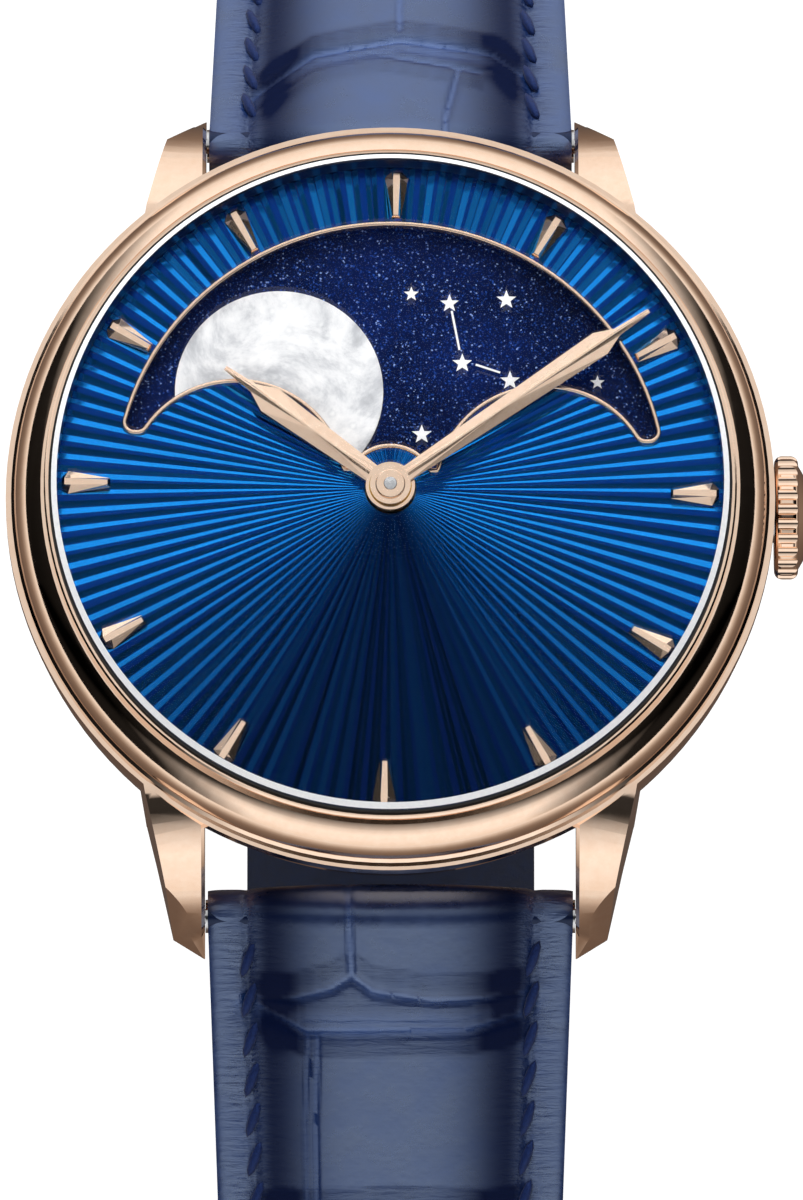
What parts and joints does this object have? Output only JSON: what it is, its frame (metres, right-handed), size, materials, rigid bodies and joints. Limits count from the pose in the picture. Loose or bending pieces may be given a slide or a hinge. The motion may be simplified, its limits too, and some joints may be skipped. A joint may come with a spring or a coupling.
{
  "type": "wristwatch",
  "caption": "Round dress wristwatch with a crescent moon phase window over the hands, fluted blue dial and a two-piece padded leather strap with pin buckle, laid open.",
  "frame": {"origin": "Centre of the case back's flat outer face", "axes": "+Z out of the dial, +Y towards 12 o'clock, +X towards the crown"},
  "size_m": [0.0431, 0.0977, 0.0594],
  "materials": {
    "rose_gold": "polished 18 carat rose gold",
    "sapphire": "clear sapphire, coated against reflections",
    "dial_blue": "deep translucent blue over a fluted sunray",
    "sky_blue": "night blue with fine glitter",
    "mother_of_pearl": "polished mother-of-pearl with grey clouding",
    "flange_dark": "satin dark blue",
    "nitrile": "matt black",
    "plated_brass": "rhodium plated, straight-grained",
    "gilt_brass": "gilt, circular-grained",
    "polished_steel": "polished",
    "blued_steel": "heat blued",
    "ruby": "polished synthetic ruby",
    "rotor_alloy": "satin, with a polished edge",
    "alligator_blue": "large-scale grain, semi-gloss navy",
    "calf_lining": "smooth dark calf"
  },
  "bodies": {
    "root": {"case_middle": "rose_gold", "bezel": "rose_gold", "crystal": "sapphire", "case_gaskets": "nitrile", "flange_ring": "flange_dark", "dial": "dial_blue", "moon_window_frame": "rose_gold", "hour_markers": "rose_gold", "moon_cover_plate": "plated_brass", "movement_ring": "plated_brass", "main_plate": "plated_brass", "barrel_bridge": "plated_brass", "train_bridge": "plated_brass", "balance_cock": "plated_brass", "pallet_bridge": "plated_brass", "jewels": "ruby", "movement_screws": "polished_steel", "rotor_bearing": "polished_steel", "case_back": "rose_gold", "back_crystal": "sapphire", "case_back_screws": "polished_steel", "crown_tube": "polished_steel", "spring_bars": "polished_steel", "hairspring": "blued_steel"},
    "minute": {"minute_hand": "rose_gold", "cannon_pinion": "polished_steel"},
    "hour": {"hour_hand": "rose_gold", "hour_wheel": "gilt_brass"},
    "minute_wheel": {"minute_wheel": "gilt_brass"},
    "day_wheel": {"day_wheel": "gilt_brass"},
    "moon": {"moon_disc": "sky_blue", "pearl_moons": "mother_of_pearl"},
    "centre": {"centre_wheel": "gilt_brass"},
    "third": {"third_wheel": "gilt_brass"},
    "fourth": {"fourth_wheel": "gilt_brass"},
    "escape": {"escape_wheel": "polished_steel"},
    "barrel": {"barrel": "gilt_brass", "mainspring": "blued_steel"},
    "arbor": {"barrel_arbor": "polished_steel", "ratchet_wheel": "polished_steel"},
    "crown_wheel": {"crown_wheel": "polished_steel"},
    "click": {"click": "polished_steel"},
    "pallets": {"pallet_fork": "polished_steel"},
    "balance": {"balance_wheel": "gilt_brass"},
    "setting": {"setting_lever": "polished_steel"},
    "crown": {"crown": "rose_gold", "winding_stem": "polished_steel"},
    "yoke": {"yoke": "polished_steel"},
    "sliding_pinion": {"sliding_pinion": "polished_steel"},
    "winding_pinion": {"winding_pinion": "polished_steel"},
    "rotor": {"rotor": "rotor_alloy"},
    "strap_long": {"strap_long_leather": "alligator_blue", "strap_long_lining": "calf_lining"},
    "strap_short": {"strap_short_leather": "alligator_blue", "strap_short_lining": "calf_lining", "fixed_keeper": "alligator_blue", "buckle_pin": "polished_steel"},
    "free_keeper": {"free_keeper": "alligator_blue"},
    "buckle": {"buckle_frame": "rose_gold"},
    "tang": {"buckle_tang": "rose_gold"}
  },
  "joints": [
    {"name": "crown_pull", "type": "slide", "parent": "root", "child": "setting", "axis": [1, 0, 0], "range_m": [0, 0.0008]},
    {"name": "crown_turn", "type": "hinge", "parent": "setting", "child": "crown", "pos_m": [0.0115, 0, 0.004], "axis": [1, 0, 0], "continuous": true},
    {"name": "yoke_shift", "type": "slide", "parent": "root", "child": "yoke", "axis": [1, 0, 0], "range_m": [-0.0008, 0]},
    {"name": "sliding_pinion_turn", "type": "hinge", "parent": "yoke", "child": "sliding_pinion", "pos_m": [0.0097, 0, 0.004], "axis": [1, 0, 0], "continuous": true},
    {"name": "winding_pinion_turn", "type": "hinge", "parent": "root", "child": "winding_pinion", "pos_m": [0.0107, 0, 0.004], "axis": [1, 0, 0], "continuous": true},
    {"name": "crown_wheel_turn", "type": "hinge", "parent": "root", "child": "crown_wheel", "pos_m": [0.0086, 0, 0.0024], "axis": [0, 0, 1], "continuous": true},
    {"name": "ratchet_turn", "type": "hinge", "parent": "root", "child": "arbor", "pos_m": [0.00403, 0.00341, 0.0024], "axis": [0, 0, 1], "continuous": true},
    {"name": "click_lift", "type": "hinge", "parent": "root", "child": "click", "pos_m": [0.0036, 0.00839, 0.0024], "axis": [0, 0, 1], "range_deg": [0, 12]},
    {"name": "minute_turn", "type": "hinge", "parent": "root", "child": "minute", "pos_m": [0, 0, 0.0108], "axis": [0, 0, -1], "continuous": true},
    {"name": "hour_turn", "type": "hinge", "parent": "root", "child": "hour", "pos_m": [0, 0, 0.0105], "axis": [0, 0, -1], "continuous": true},
    {"name": "minute_wheel_turn", "type": "hinge", "parent": "root", "child": "minute_wheel", "pos_m": [0.00144, -0.00249, 0.0072], "axis": [0, 0, -1], "continuous": true},
    {"name": "day_wheel_turn", "type": "hinge", "parent": "root", "child": "day_wheel", "pos_m": [-0.00346, 0.00599, 0.0076], "axis": [0, 0, -1], "continuous": true},
    {"name": "moon_turn", "type": "hinge", "parent": "root", "child": "moon", "pos_m": [0, 0, 0.0089], "axis": [0, 0, -1], "continuous": true},
    {"name": "fourth_turn", "type": "hinge", "parent": "root", "child": "fourth", "pos_m": [-0.00489, -0.00223, 0.0043], "axis": [0, 0, 1], "continuous": true},
    {"name": "third_turn", "type": "hinge", "parent": "root", "child": "third", "pos_m": [-0.00423, 0.00154, 0.004], "axis": [0, 0, 1], "continuous": true},
    {"name": "centre_turn", "type": "hinge", "parent": "root", "child": "centre", "pos_m": [0, 0, 0.0037], "axis": [0, 0, 1], "continuous": true},
    {"name": "barrel_turn", "type": "hinge", "parent": "root", "child": "barrel", "pos_m": [0.00403, 0.00341, 0.0045], "axis": [0, 0, 1], "continuous": true},
    {"name": "escape_turn", "type": "hinge", "parent": "root", "child": "escape", "pos_m": [-0.00335, -0.0049, 0.0047], "axis": [0, 0, 1], "continuous": true},
    {"name": "pallet_swing", "type": "hinge", "parent": "root", "child": "pallets", "pos_m": [-0.00086, -0.00543, 0.0047], "axis": [0, 0, 1], "range_deg": [-5, 5]},
    {"name": "balance_swing", "type": "hinge", "parent": "root", "child": "balance", "pos_m": [0.00217, -0.00607, 0.004], "axis": [0, 0, 1], "range_deg": [-270, 270]},
    {"name": "rotor_turn", "type": "hinge", "parent": "root", "child": "rotor", "pos_m": [0, 0, 0.0016], "axis": [0, 0, 1], "continuous": true},
    {"name": "strap_long_swing", "type": "hinge", "parent": "root", "child": "strap_long", "pos_m": [0, -0.0216, 0.0015], "axis": [-1, 0, 0], "range_deg": [0, 60]},
    {"name": "strap_short_swing", "type": "hinge", "parent": "root", "child": "strap_short", "pos_m": [0, 0.0216, 0.0015], "axis": [1, 0, 0], "range_deg": [0, 60]},
    {"name": "free_keeper_slide", "type": "slide", "parent": "strap_short", "child": "free_keeper", "axis": [0, 0, 1], "range_m": [-0.002, 0.002]},
    {"name": "buckle_swing", "type": "hinge", "parent": "strap_short", "child": "buckle", "pos_m": [0, 0.02476, -0.04532], "axis": [-1, 0, 0], "range_deg": [0, 100]},
    {"name": "tang_swing", "type": "hinge", "parent": "buckle", "child": "tang", "pos_m": [0, 0.02476, -0.04532], "axis": [1, 0, 0], "range_deg": [0, 110]}
  ],
  "couplings": [
    {"joint": "yoke_shift", "follows": "crown_pull", "ratio": -1},
    {"joint": "sliding_pinion_turn", "follows": "crown_turn", "ratio": 1},
    {"joint": "winding_pinion_turn", "follows": "crown_turn", "ratio": 1},
    {"joint": "crown_wheel_turn", "follows": "crown_turn", "ratio": 0.72727},
    {"joint": "ratchet_turn", "follows": "crown_turn", "ratio": -0.45714},
    {"joint": "hour_turn", "follows": "minute_turn", "ratio": 0.083333},
    {"joint": "minute_wheel_turn", "follows": "minute_turn", "ratio": -0.33333},
    {"joint": "day_wheel_turn", "follows": "minute_turn", "ratio": -0.041667},
    {"joint": "moon_turn", "follows": "minute_turn", "ratio": 0.00070547},
    {"joint": "third_turn", "follows": "fourth_turn", "ratio": -0.13333},
    {"joint": "centre_turn", "follows": "fourth_turn", "ratio": 0.016667},
    {"joint": "barrel_turn", "follows": "fourth_turn", "ratio": -0.002381},
    {"joint": "escape_turn", "follows": "fourth_turn", "ratio": -10}
  ]
}
